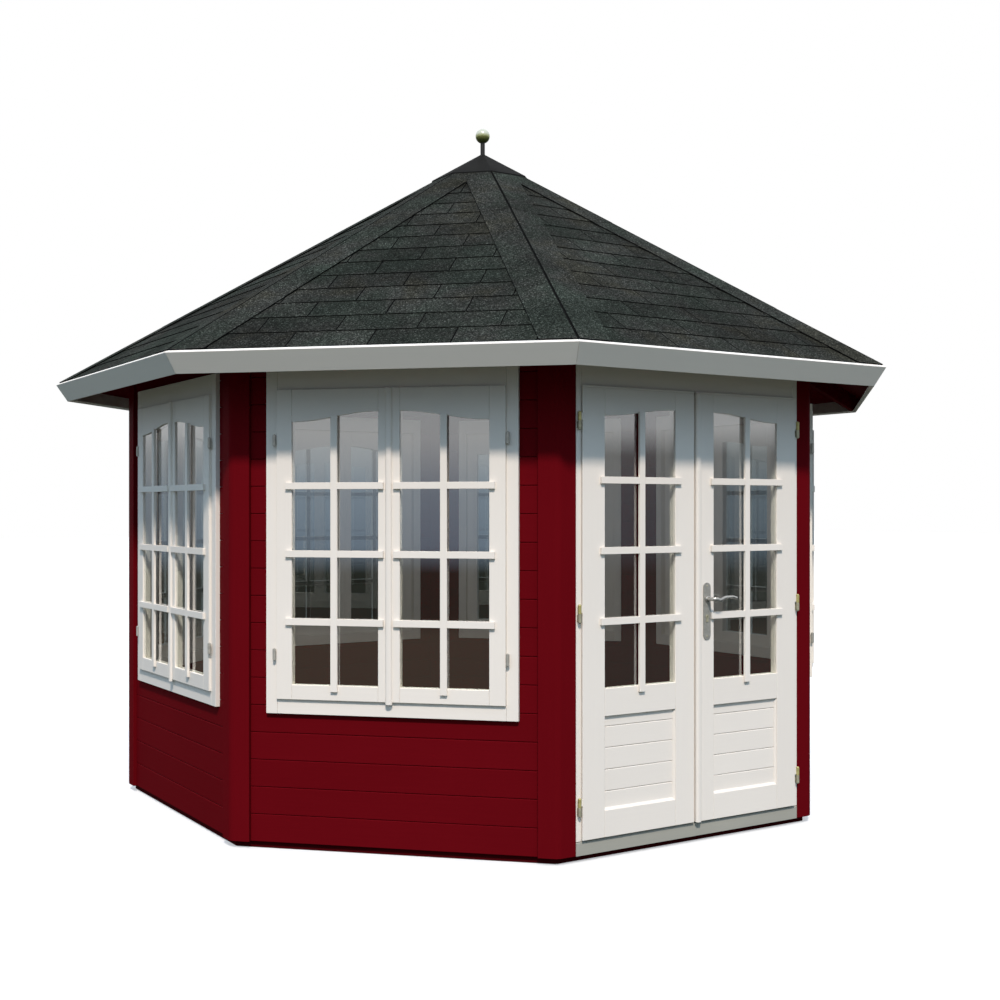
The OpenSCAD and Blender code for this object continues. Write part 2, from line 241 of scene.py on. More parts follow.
HIP_UNDER = 0.03
HIP_N = 0.0008
HIP_DROP = 0.001
CAP_T = 0.010
CAP_LAP = 0.05
CAP_LIFT = 0.002
CAP_HEM = 0.003
ROD_R = 0.012
CAP_HOLE = ROD_R * 1.1

# Studio: a soft sun, a cool fill and a white surround
SUN_AZIMUTH = -29.7
SUN_HEIGHT = 49.8
SUN_ANGLE = 4.5
SUN_STRENGTH = 3.32
SUN_COLOUR = (1.0, 0.895, 0.82)
FILL_COLOUR = (0.555, 0.755, 1.0, 1.0)
# Strength of the fill low down and overhead, and the heights between which it grows
FILL_STRENGTH = (0.37, 1.18)
FILL_RISE = (0.05, 0.50)
FLOOR_BOUNCE = (0.055, 0.065, 0.045, 1.0)
# Share of the white floor that glows to the eye, and the rest, which takes the shadow
FLOOR_GLOW = 0.45
FLOOR_TAKES = 0.50
FLOOR_REACH = 60.0
FLOOR_DROP = 0.001
ROOM_POWER = 12.5
ROOM_COLOUR = (0.86, 0.91, 1.0)
ROOM_SIZE = 2.2
# What mirrors and panes show: brown low down, then dull, and pale above, at shares of HORIZON's heights
HORIZON = (-0.12, 0.06)
HORIZON_STOPS = ((0.14, (0.135, 0.118, 0.09, 1.0)), (0.22, (0.045, 0.052, 0.042, 1.0)),
                 (0.40, (0.045, 0.052, 0.042, 1.0)), (0.51, (0.33, 0.42, 0.53, 1.0)),
                 (0.73, (0.45, 0.55, 0.66, 1.0)), (0.97, (0.95, 0.98, 1.0, 1.0)))
# Directions across X over which mirrors turn to one dull colour, and by how much
DULL_SIDE = (-0.75, 0.25)
DULL_SHARE = 0.88
DULL_COLOUR = (0.07, 0.075, 0.068, 1.0)
# Heights between which that dull colour gives way to the pale one
DULL_TOP = (0.040, 0.062)
MIRRORED = 1.0
THROUGH_GLASS = 0.25
PURE_WHITE = (1.0, 1.0, 1.0, 1.0)

# Camera, which looks level
CAMERA_LENS = 47.75
CAMERA_SENSOR = 36.0
CAMERA_SHIFT = 0.00916
CAMERA_AT = (-3.7366, -5.9773, 1.4172)
CAMERA_TURN = -32.76

rng = random.Random(41)


# Mesh building

class Builder:
    """Gathers closed solids for one mesh, with their grain, tones and material numbers."""

    def __init__(self):
        self.verts = []
        self.faces = []
        self.grain = []
        self.tones = []
        self.mats = []

    def solid(self, points, faces, grain=None, tone=None, mats=0):
        """Adds one solid. On wood, grain gives a pair of coordinates for each corner of each face."""
        base = len(self.verts)
        tone = rng.random() if tone is None else tone
        self.verts += points
        self.faces += [[base + i for i in face] for face in faces]
        self.grain += sum(grain, []) if grain else [(0.0, 0.0)] * sum(map(len, faces))
        self.tones += [tone] * len(faces)
        self.mats += [mats] * len(faces) if isinstance(mats, int) else mats

    def prism(self, profile, start, end, place, tone=None, mat=0, edge_mat=None):
        """Extrudes an outline from start to end. place turns (a, b, along) into a point."""
        count = len(profile)
        points = [place(a, b, along) for along in (start, end) for a, b in profile]
        shift = rng.random() * GRAIN_SHIFT
        near, far, low = start + shift, end + shift, shift
        faces = []
        grain = []
        for i in range(count):
            j = (i + 1) % count
            high = low + dist(profile[i], profile[j])
            faces.append([i, j, count + j, count + i])
            grain.append([(near, low), (near, high), (far, high), (far, low)])
            low = high
        caps = [(a + shift, b) for a, b in profile]
        faces += [list(range(count))[::-1], list(range(count, 2 * count))]
        grain += [caps[::-1], caps]
        self.solid(points, faces, grain, tone, [mat if edge_mat is None else edge_mat] * count + [mat] * 2)


def along_z(k):
    """Places (sideways, distance, height) on wall k, or on the corner after it for k and a half."""
    turn = Matrix.Rotation(-TURN * k, 4, "Z")
    return lambda u, d, z: tuple(turn @ Vector((u, -d, z)))


def along_u(k):
    """Places (distance, height, sideways) on wall k."""
    place = along_z(k)
    return lambda d, z, u: place(u, d, z)


def along_d(k):
    """Places (sideways, height, distance) on wall k."""
    place = along_z(k)
    return lambda u, z, d: place(u, d, z)


def upright(x, y, z):
    return (x, y, z)


def rectangle(a, b):
    return [(a[0], b[0]), (a[1], b[0]), (a[1], b[1]), (a[0], b[1])]


def arc(centre, radius, start, end, steps):
    """Points on an arc, in order from start to end degrees."""
    angles = [radians(start + (end - start) * i / steps) for i in range(steps + 1)]
    return [(centre[0] + radius * cos(a), centre[1] + radius * sin(a)) for a in angles]


def flip(outline, side):
    return [(side * a, b) for a, b in outline]


def span(side, one, two):
    """Sideways limits mirrored to the left for side -1."""
    return tuple(sorted((side * one, side * two)))


def rail(b, k, u, d, z, **kw):
    """Level timber on wall k between limits u, d and z."""
    b.prism(rectangle(d, z), *u, along_u(k), **kw)


def stile(b, k, u, d, z, **kw):
    """Upright timber on wall k between limits u, d and z."""
    b.prism(rectangle(u, d), *z, along_z(k), **kw)


def clip(polygon, normal, limit):
    """The part of a convex polygon no further than limit along normal."""
    out = []
    for i, p in enumerate(polygon):
        q = polygon[(i + 1) % len(polygon)]
        a = p[0] * normal[0] + p[1] * normal[1] - limit
        b = q[0] * normal[0] + q[1] * normal[1] - limit
        if a <= 0:
            out.append(p)
        if a * b < 0:
            t = a / (a - b)
            out.append((p[0] + (q[0] - p[0]) * t, p[1] + (q[1] - p[1]) * t))
    return out


def bands(rings):
    """Faces between each ring of points and the next, without doubled corners."""
    return [list(dict.fromkeys((low[j - 1], low[j], high[j], high[j - 1])))
            for low, high in zip(rings, rings[1:]) for j in range(len(low))]


def put(name, data):
    made = bpy.data.objects.new(name, data)
    bpy.context.scene.collection.objects.link(made)
    return made


def make(name, b, materials, body="house", bevel=0.0, segments=2, replaces=()):
    """Turns a builder into a piece that rides on a body."""
    mesh = bpy.data.meshes.new(name)
    mesh.from_pydata(b.verts, [], b.faces)
    mesh.uv_layers.new(name="grain").data.foreach_set("uv", [c for pair in b.grain for c in pair])
    mesh.attributes.new("tone", "FLOAT", "FACE").data.foreach_set("value", b.tones)
    mesh.polygons.foreach_set("material_index", b.mats)
    mesh.polygons.foreach_set("use_smooth", [True] * len(b.faces))
    for material in materials:
        mesh.materials.append(material)
    work = bmesh.new()
    work.from_mesh(mesh)
    bmesh.ops.recalc_face_normals(work, faces=work.faces)
    work.to_mesh(mesh)
    work.free()
    mesh.set_sharp_from_angle(angle=SHARP)
    piece = put(name, mesh)
    if bevel:
        edge = piece.modifiers.new("edges", "BEVEL")
        edge.width = bevel
        edge.segments = segments
        edge.limit_method = "ANGLE"
        edge.angle_limit = SHARP
        edge.harden_normals = True
    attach(piece, body)
    if replaces:
        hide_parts(*replaces)


# Materials

def linear(*display):
    """A colour written as 0 to 255 display values, in linear light."""
    shares = [value / 255 for value in display]
    return (*(v / 12.92 if v <= 0.04045 else ((v + 0.055) / 1.055) ** 2.4 for v in shares), 1.0)


class Nodes:
    """Makes and links the nodes of a material or a world."""

    def __init__(self, owner):
        owner.use_nodes = True
        self.owner = owner
        self.tree = owner.node_tree

    def give(self, socket, value):
        """Links an input to another node's output, or sets its value."""
        if isinstance(value, bpy.types.NodeSocket):
            self.tree.links.new(value, socket)
        else:
            socket.default_value = value

    def node(self, kind, *values, **named):
        """Adds a node. Values go to its first inputs, names with a capital are inputs, others settings."""
        made = self.tree.nodes.new("ShaderNode" + kind)
        for socket, value in zip(made.inputs, values):
            self.give(socket, value)
        for key, value in named.items():
            if key[0].isupper():
                self.give(made.inputs[key.replace("_", " ")], value)
            else:
                setattr(made, key, value)
        return made

    def noise(self, scale, detail=4.0, roughness=0.5, distortion=0.0, vector=None):
        """Noise over the piece's own coordinates, unless others are given."""
        return self.node("TexNoise", Vector=vector or self.place(), Scale=scale, Detail=detail,
                         Roughness=roughness, Distortion=distortion).outputs["Fac"]

    def place(self):
        return self.node("TexCoord").outputs["Object"]

    def ramp(self, value, *stops):
        made = self.node("ValToRGB", value)
        elements = made.color_ramp.elements
        while len(elements) < len(stops):
            elements.new(0.5)
        for element, (place, colour) in zip(elements, stops):
            element.position = place
            element.color = colour
        return made.outputs["Color"]

    def spread(self, value, low, high, from_low=0.0, from_high=1.0):
        return self.node("MapRange", value, from_low, from_high, low, high).outputs["Result"]

    def mix(self, factor, one, two, blend="MIX"):
        made = self.node("Mix", factor, data_type="RGBA", blend_type=blend)
        self.give(made.inputs[6], one)
        self.give(made.inputs[7], two)
        return made.outputs[2]

    def add(self, one, two):
        return self.node("Math", one, two, operation="ADD").outputs[0]

    def times(self, one, two):
        return self.node("Math", one, two, operation="MULTIPLY").outputs[0]

    def by_ray(self, kind, usual, seen):
        """A shader that one kind of ray sees, and the usual one for the rest."""
        path = self.node("LightPath").outputs[kind]
        return self.node("MixShader", path, usual, seen).outputs[0]


class Shader(Nodes):
    """Nodes of one new material."""

    def __init__(self, name):
        super().__init__(bpy.data.materials.new(name))
        self.surface = self.tree.nodes["Principled BSDF"]

    def set(self, **values):
        """Gives inputs of the surface their values or links."""
        for key, value in values.items():
            self.give(self.surface.inputs[key.replace("_", " ")], value)

    def show(self, shader):
        self.give(self.tree.nodes["Material Output"].inputs["Surface"], shader)

    def tone(self):
        return self.node("Attribute", attribute_name="tone").outputs["Fac"]

    def bump(self, height, strength, distance):
        made = self.node("Bump", Height=height, Strength=strength, Distance=distance)
        return made.outputs["Normal"]


def painted_wood(name, dark, light, roughness, grain_depth, gloss, has_grain=True):
    """Wood under a thin coat: faint grain along each board, small differences from board to board."""
    s = Shader(name)
    if has_grain:
        boards = s.node("UVMap", uv_map="grain").outputs["UV"]
        boards = s.node("Mapping", Vector=boards, Scale=(1.1, 46.0, 1.0)).outputs["Vector"]
        fibre = s.noise(3.0, 7.0, 0.6, 0.5, boards)
    else:
        fibre = s.noise(40.0, 7.0, 0.6, 0.5)
    worn = s.add(s.times(fibre, 0.35), s.times(s.noise(2.3, 3.0), 0.4))
    s.set(Base_Color=s.mix(s.add(worn, s.times(s.tone(), 0.25)), linear(*dark), linear(*light)),
          Roughness=s.spread(fibre, roughness - 0.07, roughness + 0.10),
          Normal=s.bump(fibre, 0.35, grain_depth), Specular_IOR_Level=gloss)
    return s.owner


def bitumen_shingle():
    """Charcoal granules with pale specks, in patches of green, violet and brown grey."""
    s = Shader("bitumen_shingle")
    fine = s.noise(170.0, 2.0, 0.7)
    cells = s.node("TexVoronoi", Vector=s.place(), Scale=230.0).outputs["Color"]
    grains = s.node("SeparateColor", cells).outputs["Red"]
    speck = s.ramp(s.add(s.times(fine, 0.5), s.times(grains, 0.5)),
                   (0.22, linear(33, 35, 33)), (0.50, linear(52, 54, 51)),
                   (0.70, linear(77, 80, 76)), (0.82, linear(136, 139, 134)))
    tint = s.ramp(s.noise(2.6, 3.0, 0.6),
                  (0.36, linear(171, 181, 172)), (0.46, linear(178, 182, 175)),
                  (0.54, linear(184, 181, 178)), (0.64, linear(187, 180, 167)))
    shade = s.times(s.spread(s.tone(), 0.72, 1.5),
                    s.spread(s.noise(3.4, 3.0, 0.6), 0.70, 1.36, 0.3, 0.7))
    s.set(Base_Color=s.mix(1.0, s.mix(1.0, speck, tint, "MULTIPLY"), shade, "MULTIPLY"),
          Roughness=s.spread(fine, 0.85, 0.98), Normal=s.bump(fine, 0.5, 0.002), Specular_IOR_Level=0.02)
    return s.owner


def clouded(name, dark, light, rough, noise, relief, peel=None, **values):
    """Surface with a cloud in its colour and gloss; its relief follows the cloud or a finer peel."""
    s = Shader(name)
    cloud = s.noise(*noise)
    s.set(Base_Color=s.ramp(cloud, (0.3, linear(*dark)), (0.7, linear(*light))),
          Roughness=s.spread(cloud, *rough),
          Normal=s.bump(s.noise(*peel) if peel else cloud, *relief), **values)
    return s.owner


def metal(name, dark, light, rough, scale, metallic):
    """Metal under a dull film, which hides more of it the less metallic it is."""
    return clouded(name, dark, light, rough, (scale, 4.0, 0.6), (0.06, 0.0004), Metallic=metallic)


def ball_brass_painted_sky():
    """Brass with a painted reflection of the sky: pale on the top of the ball and olive below."""
    s = Shader("ball_brass_painted_sky")
    film = s.noise(25.0, 4.0, 0.6)
    # Painted reflection: the colour turns paler with height on the ball, as a mirrored sky would make it
    height = s.node("SeparateXYZ", s.place()).outputs["Z"]
    level = s.add(s.spread(height, 0.0, 1.0, BALL_Z - BALL_R, BALL_Z + BALL_R),
                  s.spread(film, -0.06, 0.06, 0.3, 0.7))
    colour = s.ramp(level, (0.30, linear(120, 124, 66)), (0.46, linear(150, 153, 100)),
                    (0.64, linear(205, 208, 192)))
    s.set(Base_Color=colour, Roughness=s.spread(film, 0.14, 0.24), Normal=s.bump(film, 0.05, 0.0003),
          Metallic=0.45)
    return s.owner


def window_pane():
    """Clear glass with a faint ripple. Rays towards lamps pass straight through."""
    s = Shader("window_pane")
    s.set(Normal=s.bump(s.noise(2.2, 1.0), 0.02, 0.004), Base_Color=(0.93, 0.97, 0.96, 1.0),
          Roughness=0.0, Transmission_Weight=1.0, IOR=PANE_IOR)
    clear = s.node("BsdfTransparent", Color=(0.9, 0.94, 0.93, 1.0))
    s.show(s.by_ray("Is Shadow Ray", s.surface.outputs["BSDF"], clear.outputs["BSDF"]))
    return s.owner


# Stains are (dark, light, roughness, depth of grain, gloss), with colours as display values
RED_STAIN = ((89, 6, 13), (105, 10, 19), 0.52, 0.0009, 0.012)
BASE_STAIN = ((58, 4, 9), (78, 9, 14), 0.6, 0.001, 0.012)
RED = painted_wood("red_stain", *RED_STAIN)
RED_CAD = painted_wood("red_stain_plain", *RED_STAIN, has_grain=False)
WHITE = painted_wood("white_paint", (227, 220, 210), (237, 230, 220), 0.42, 0.0005, 0.04)
SILL = painted_wood("sill_grey", (152, 151, 141), (176, 174, 163), 0.45, 0.0004, 0.06)
BASE = painted_wood("base_stain", *BASE_STAIN)
BASE_CAD = painted_wood("base_stain_plain", *BASE_STAIN, has_grain=False)
FLOOR = painted_wood("floor_stain", (106, 88, 68), (150, 130, 104), 0.5, 0.001, 0.04)
SHINGLE = bitumen_shingle()
SEAM = clouded("bitumen_seam", (15, 15, 15), (29, 30, 29), (0.8, 0.95), (160.0, 3.0, 0.6),
               (0.4, 0.001), Specular_IOR_Level=0.01)
SHEET = clouded("coated_sheet", (25, 25, 25), (31, 31, 30), (0.62, 0.74), (9.0, 4.0),
                (0.08, 0.0004), peel=(420.0, 2.0), Specular_IOR_Level=0.02)
# Black iron; the backs of the glazing bars wear it too, as painted shade
IRON_AND_SHADE = clouded("black_iron_and_painted_shade", (18, 18, 18), (32, 32, 31), (0.35, 0.55), (60.0, 4.0),
               (0.1, 0.0006), Metallic=0.3)
BRASS = metal("hinge_brass", (160, 151, 94), (192, 182, 124), (0.34, 0.50), 70.0, 0.3)
ZINC = metal("hinge_zinc", (150, 147, 124), (182, 178, 154), (0.36, 0.52), 70.0, 0.35)
GREY_ZINC = metal("grey_zinc", (155, 153, 145), (186, 183, 173), (0.36, 0.52), 70.0, 0.3)
BALL = ball_brass_painted_sky()
STEEL = metal("satin_steel", (160, 160, 157), (196, 196, 192), (0.20, 0.32), 90.0, 0.8)
PLATE = metal("plate_steel", (144, 143, 136), (165, 164, 157), (0.40, 0.55), 90.0, 0.35)
PANE = window_pane()


# Base, floor, walls and posts

def mitred(apothem, width):
    """Plan outline, sideways and outwards, of one side of an eight-sided ring."""
    inner = apothem - width
    return [(-inner * TAN_HALF, inner), (inner * TAN_HALF, inner), (apothem * TAN_HALF, apothem),
            (-apothem * TAN_HALF, apothem)]


def base_timbers():
    b = Builder()
    for k in range(SIDES):
        b.prism(mitred(BASE_APOTHEM, BASE_W), 0.0, BASE_TOP, along_z(k))
    make("base_timbers", b, [BASE], bevel=BOARD_EDGE, replaces=("base_frame",))


def floor_planks():
    """Floor boards along X, cut to the eight-sided room."""
    b = Builder()
    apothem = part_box("floor_boards")[1][0]
    for i in range(ceil(2 * apothem / FLOOR_PITCH)):
        low = -apothem + i * FLOOR_PITCH
        plank = rectangle((-apothem, apothem), (low, min(low + FLOOR_PITCH, apothem) - JOINT))
        for k in range(SIDES):
            angle = TURN * k
            plank = clip(plank, (cos(angle), sin(angle)), apothem)
        b.prism(plank, BASE_TOP, FLOOR_TOP, upright)
    make("floor_planks", b, [FLOOR], bevel=PLANK_EDGE, replaces=("floor_boards",))


# Depths, grooves and starts of the two layers of a wall: the inner one closes the grooves from behind
BOARD_LAYERS = (((WALL_INNER, WALL_OUTER - BOARD_FACE_T - JOINT), JOINT, BOARD_START + BOARD_PITCH / 2),
                ((WALL_OUTER - BOARD_FACE_T, WALL_OUTER), BOARD_GROOVE, BOARD_START))


def board_rows(low, high, groove, start):
    """Heights of the boards between low and high; the joints are level all round."""
    first = ceil((low + BOARD_LEAST - start) / BOARD_PITCH)
    lines = [low]
    while start + first * BOARD_PITCH < high - BOARD_LEAST:
        lines.append(start + first * BOARD_PITCH)
        first += 1
    lines.append(high)
    return [(a + groove / 2, z - groove / 2) for a, z in zip(lines, lines[1:])]


def notched_board(row, hole):
    """Outlines, sideways and upwards, of one row of boards around a hole (half width, low, high)."""
    low, high = row
    half, hole_low, hole_high = hole
    edge = BAY_FILL
    if high <= hole_low or low >= hole_high:
        return [rectangle((-edge, edge), row)]
    if low < hole_low:
        return [[(-edge, low), (edge, low), (edge, high), (half, high), (half, hole_low),
                 (-half, hole_low), (-half, high), (-edge, high)]]
    if high > hole_high:
        return [[(-edge, high), (-edge, low), (-half, low), (-half, hole_high), (half, hole_high),
                 (half, low), (edge, low), (edge, high)]]
    return [rectangle((-edge, -half), row), rectangle((half, edge), row)]


def wall_boards(k):
    b = Builder()
    hole = (WINDOW_HALF + FIT, FRAME_BOTTOM - FIT, FRAME_TOP + FIT)
    for depth, groove, start in BOARD_LAYERS:
        for row in board_rows(WALL_BASE, WALL_TOP, groove, start):
            tone = rng.random()
            for outline in notched_board(row, hole):
                b.prism(outline, *depth, along_d(k), tone=tone)
    name = BAY_NAMES[k] + "_wall"
    make(name + "_boards", b, [RED], bevel=BOARD_EDGE, replaces=(name,))


def door_head_boards():
    b = Builder()
    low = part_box("door_head_wall")[0][2]
    for depth, groove, start in BOARD_LAYERS:
        for row in board_rows(low, WALL_TOP, groove, start):
            b.prism(rectangle((-BAY_FILL, BAY_FILL), row), *depth, along_d(0))
    make("door_head_boards", b, [RED], bevel=BOARD_EDGE, replaces=("door_head_wall",))


def post_outline():
    """Plan of a post, symmetrical about its corner, with a rounded outer arris."""
    def on_wall(u, d):
        """A point on the wall to the right, sideways u from the wall's middle, seen from the corner."""
        back = u - d * TAN_HALF
        return (-back * cos(HALF), d / cos(HALF) + back * sin(HALF))

    side = [on_wall(BAY_FILL + FIT, WALL_INNER), on_wall(BAY_FILL + FIT, POST_OUTER)]
    reach = POST_OUTER / cos(HALF) - ARRIS_R / cos(HALF)
    start, end = 90 - degrees(HALF), 90 + degrees(HALF)
    nose = arc((0.0, reach), ARRIS_R, start, end, ARRIS_STEPS)
    inner = (0.0, WALL_INNER / cos(HALF))
    return [inner] + side + nose + [(-x, y) for x, y in reversed(side)]


def posts():
    """Corner posts with rounded arrises; above the walls two prongs stand beside the rafter."""
    b = Builder()
    outline = post_outline()
    prong = clip(outline, (-1.0, 0.0), -RAFTER_SLOT / 2)
    for k in range(SIDES):
        tone = rng.random()
        b.prism(outline, BASE_TOP, FORK_Z, along_z(k + 0.5), tone=tone)
        for side in (1, -1):
            b.prism(flip(prong, side), FORK_Z, PRONG_TOP, along_z(k + 0.5), tone=tone)
    make("posts", b, [RED], bevel=TRIM_EDGE, replaces=("corner_posts",))


# Windows and door

def ogee(inner, outer, low, high):
    """Points of a curved head that rises from its outer to its inner side."""
    points = []
    for i in range(OGEE_STEPS + 1):
        t = i / OGEE_STEPS
        points.append((outer + (inner - outer) * t, low + (high - low) * (1 - cos(pi * t)) / 2))
    return points


def window_joinery():
    """Outer frames: uprights from bottom to top with rails between them."""
    b = Builder()
    depth = (WALL_INNER, FRAME_FACE)
    inside = SASH_EDGE + FIT
    for k in WINDOW_BAYS:
        for side in (1, -1):
            stile(b, k, span(side, inside, WINDOW_HALF), depth, (FRAME_BOTTOM, FRAME_TOP))
        for z in ((FRAME_BOTTOM, SASH_BOTTOM - FIT), (SASH_TOP + FIT, FRAME_TOP)):
            rail(b, k, (-inside + JOINT, inside - JOINT), depth, z)
    make("window_joinery", b, [WHITE], bevel=JOINERY_EDGE, replaces=("window_frames",))


def glazed_leaf(b, k, side, u, d, z, opening, head, stiles=True):
    """Stiles, bottom rail and curved top rail around one glazed opening.

    u are the meeting and outer edges, opening the (inner, outer, bottom) of the glass and head the
    (low, high) of its curved top."""
    inner, outer, bottom = opening
    if stiles:
        stile(b, k, span(side, u[0], inner), d, z)
        stile(b, k, span(side, outer, u[1]), d, z)
    rail(b, k, span(side, inner + JOINT, outer - JOINT), d, (z[0], bottom))
    curve = ogee(inner + JOINT, outer - JOINT, *head)
    top = [(inner + JOINT, z[1]), (outer - JOINT, z[1])] + curve
    b.prism(flip(top, side), d[0], d[1], along_d(k))


SASH_OPENING = (SASH_MEETING, SASH_EDGE - SASH_STILE, SASH_BOTTOM + SASH_SILL)
SASH_CURVE = (SASH_TOP - SASH_HEAD - SASH_RISE, SASH_TOP - SASH_HEAD)
LEAF_OPENING = (LEAF_MEET + LEAF_STILE, LEAF_EDGE - LEAF_STILE,
                LEAF_BOTTOM + LEAF_SILL + PANEL_H + LEAF_MID)
LEAF_CURVE = (LEAF_TOP - LEAF_HEAD - LEAF_RISE, LEAF_TOP - LEAF_HEAD)


def sash_joinery(side, name):
    b = Builder()
    for k in WINDOW_BAYS:
        glazed_leaf(b, k, side, (FIT / 2, SASH_EDGE), (SASH_BACK, SASH_FACE), (SASH_BOTTOM, SASH_TOP),
                    SASH_OPENING, SASH_CURVE)
    make(name + "_joinery", b, [WHITE], bevel=JOINERY_EDGE, replaces=(name,))


def glazing_bars(b, k, side, opening, curve, face, bar_heights, inner_lap=BAR_LAP):
    """Lattice laid on the face of a glazed leaf, clear of the glass, with a dark layer on its back that is
    painted shade: it keeps the backs of the bars and their image in the glass dark.
    """
    inner, outer, bottom = opening
    middle = (inner + outer) / 2
    crest = (curve[0] + curve[1]) / 2
    half = BAR_W / 2
    shade_half = half - BAR_SHADE_LAYER
    laid = (face, face + BAR_PROUD)
    shade_layer = (face - BAR_SHADE_LAYER, face)
    stile(b, k, span(side, middle - half, middle + half), laid, (bottom - BAR_LAP, crest + BAR_TOP))
    # Dark layer on the back of the bars: painted shade
    stile(b, k, span(side, middle - shade_half, middle + shade_half), shade_layer, (bottom, crest - BAR_TOP), mat=1)
    for z in bar_heights:
        for u in ((inner - inner_lap, middle - half), (middle + half, outer + BAR_LAP)):
            rail(b, k, span(side, *u), laid, (z - half, z + half))
        for u in ((inner, middle - shade_half), (middle + shade_half, outer)):
            rail(b, k, span(side, *u), shade_layer, (z - shade_half, z + shade_half), mat=1)


def astragal(b, k, u, face, z):
    """Rounded bead over the line where two leaves meet."""
    r = ASTRAGAL_PROUD
    outline = arc((u[0] + r, face), r, 180, 90, ARRIS_STEPS) + arc((u[1] - r, face), r, 90, 0, ARRIS_STEPS)
    b.prism(outline, *z, along_z(k))


def window_bars():
    b = Builder()
    for k in WINDOW_BAYS:
        for side in (1, -1):
            glazing_bars(b, k, side, SASH_OPENING, SASH_CURVE, SASH_FACE, WINDOW_BAR_Z)
        astragal(b, k, (-ASTRAGAL_W / 2, ASTRAGAL_W / 2), SASH_FACE,
                 (SASH_BOTTOM - ASTRAGAL_DROP, SASH_TOP - FIT))
    make("window_bars", b, [WHITE, IRON_AND_SHADE], bevel=BAR_EDGE)


def door_joinery():
    """Jambs and head with a stop behind the leaves."""
    b = Builder()
    stop_face = LEAF_BACK - LEAF_GAP
    head = LEAF_TOP + LEAF_GAP
    layers = ((JAMB_EDGE, (stop_face, FRAME_FACE), head),
              (JAMB_EDGE - STOP_W, (WALL_INNER, stop_face), head - STOP_W))
    for side in (1, -1):
        for edge, depth, _ in layers:
            stile(b, 0, span(side, edge, BAY_FILL), depth, (THRESHOLD_TOP, FRAME_TOP))
    for edge, depth, low in layers:
        rail(b, 0, (JOINT - edge, edge - JOINT), depth, (low, FRAME_TOP))
    make("door_joinery", b, [WHITE], bevel=JOINERY_EDGE, replaces=("door_frame",))


def threshold():
    """Sill under the leaves, with a rounded nose and a water groove."""
    b = Builder()
    low, high = THRESHOLD_BOTTOM, THRESHOLD_TOP
    nose = arc((FRAME_FACE - NOSE_R, high - NOSE_R), NOSE_R, 90, 0, ARRIS_STEPS)
    groove = LEAF_BACK - LEAF_GAP
    outline = [(WALL_INNER, low), (WALL_INNER, high), (groove, high),
               (groove + GROOVE_SLANT, high - GROOVE_H),
               (groove + GROOVE_W - GROOVE_SLANT, high - GROOVE_H), (groove + GROOVE_W, high)]
    outline += nose + [(FRAME_FACE, low)]
    b.prism(outline, -BAY_FILL, BAY_FILL, along_u(0))
    make("threshold", b, [SILL], bevel=SILL_EDGE, replaces=("door_threshold",))


def ring_plate(b, outline, centre, radius, d, **kw):
    """Flat plate on the door wall with a round hole. The outline is seen whole from the hole."""
    def edge_point(angle):
        """Where a ray from the hole's centre leaves the outline."""
        x, z = cos(angle), sin(angle)
        reach = 0.0
        for p, q in zip(outline, outline[1:] + outline[:1]):
            px, pz = p[0] - centre[0], p[1] - centre[1]
            ex, ez = q[0] - p[0], q[1] - p[1]
            cross = x * ez - z * ex
            if abs(cross) > NEAR and -NEAR <= (px * z - pz * x) / cross <= 1 + NEAR:
                reach = max(reach, (px * ez - pz * ex) / cross)
        return (centre[0] + reach * x, centre[1] + reach * z)

    corners = [atan2(p[1] - centre[1], p[0] - centre[0]) % tau for p in outline]
    circle = [tau * (i + 0.5) / HOLE_STEPS for i in range(HOLE_STEPS)]
    angles = sorted(corners + [a for a in circle if min(abs(a - c) for c in corners) > RIM_APART])
    hole = [(centre[0] + radius * cos(a), centre[1] + radius * sin(a)) for a in angles]
    rim = [edge_point(a) for a in angles]
    count = len(angles)
    place = along_d(0)
    points = [place(u, z, depth) for depth in d for u, z in hole + rim]
    faces = bands([list(range(n * count, (n + 1) * count)) for n in (0, 1, 3, 2, 0)])
    flat = (hole + rim) * 2
    grain = [[(flat[v][1], flat[v][0]) for v in face] for face in faces]
    b.solid(points, faces, grain, **kw)


def panel_beads(b, u, z, d, outwards):
    """Sloping beads below and beside a sunk panel, from its face at distance d, mitred at the corners."""
    place = along_d(0)
    rim = rectangle(u, z)
    foot = rectangle((u[0] + BEAD, u[1] - BEAD), (z[0] + BEAD, z[1] - BEAD))
    for i, j in ((3, 0), (0, 1), (1, 2)):
        length = dist(rim[i], rim[j])
        points = [place(*p, d + outwards * BEAD) for p in (rim[i], rim[j])]
        points += [place(*p, d) for p in (rim[i], rim[j], foot[i], foot[j])]
        faces = [[0, 1, 5, 4], [1, 0, 2, 3], [2, 4, 5, 3], [0, 4, 2], [1, 3, 5]]
        run = [(0.0, 0.0), (length, 0.0), (0.0, BEAD), (length, BEAD), (BEAD, 2 * BEAD),
               (length - BEAD, 2 * BEAD)]
        b.solid(points, faces, [[run[v] for v in face] for face in faces])


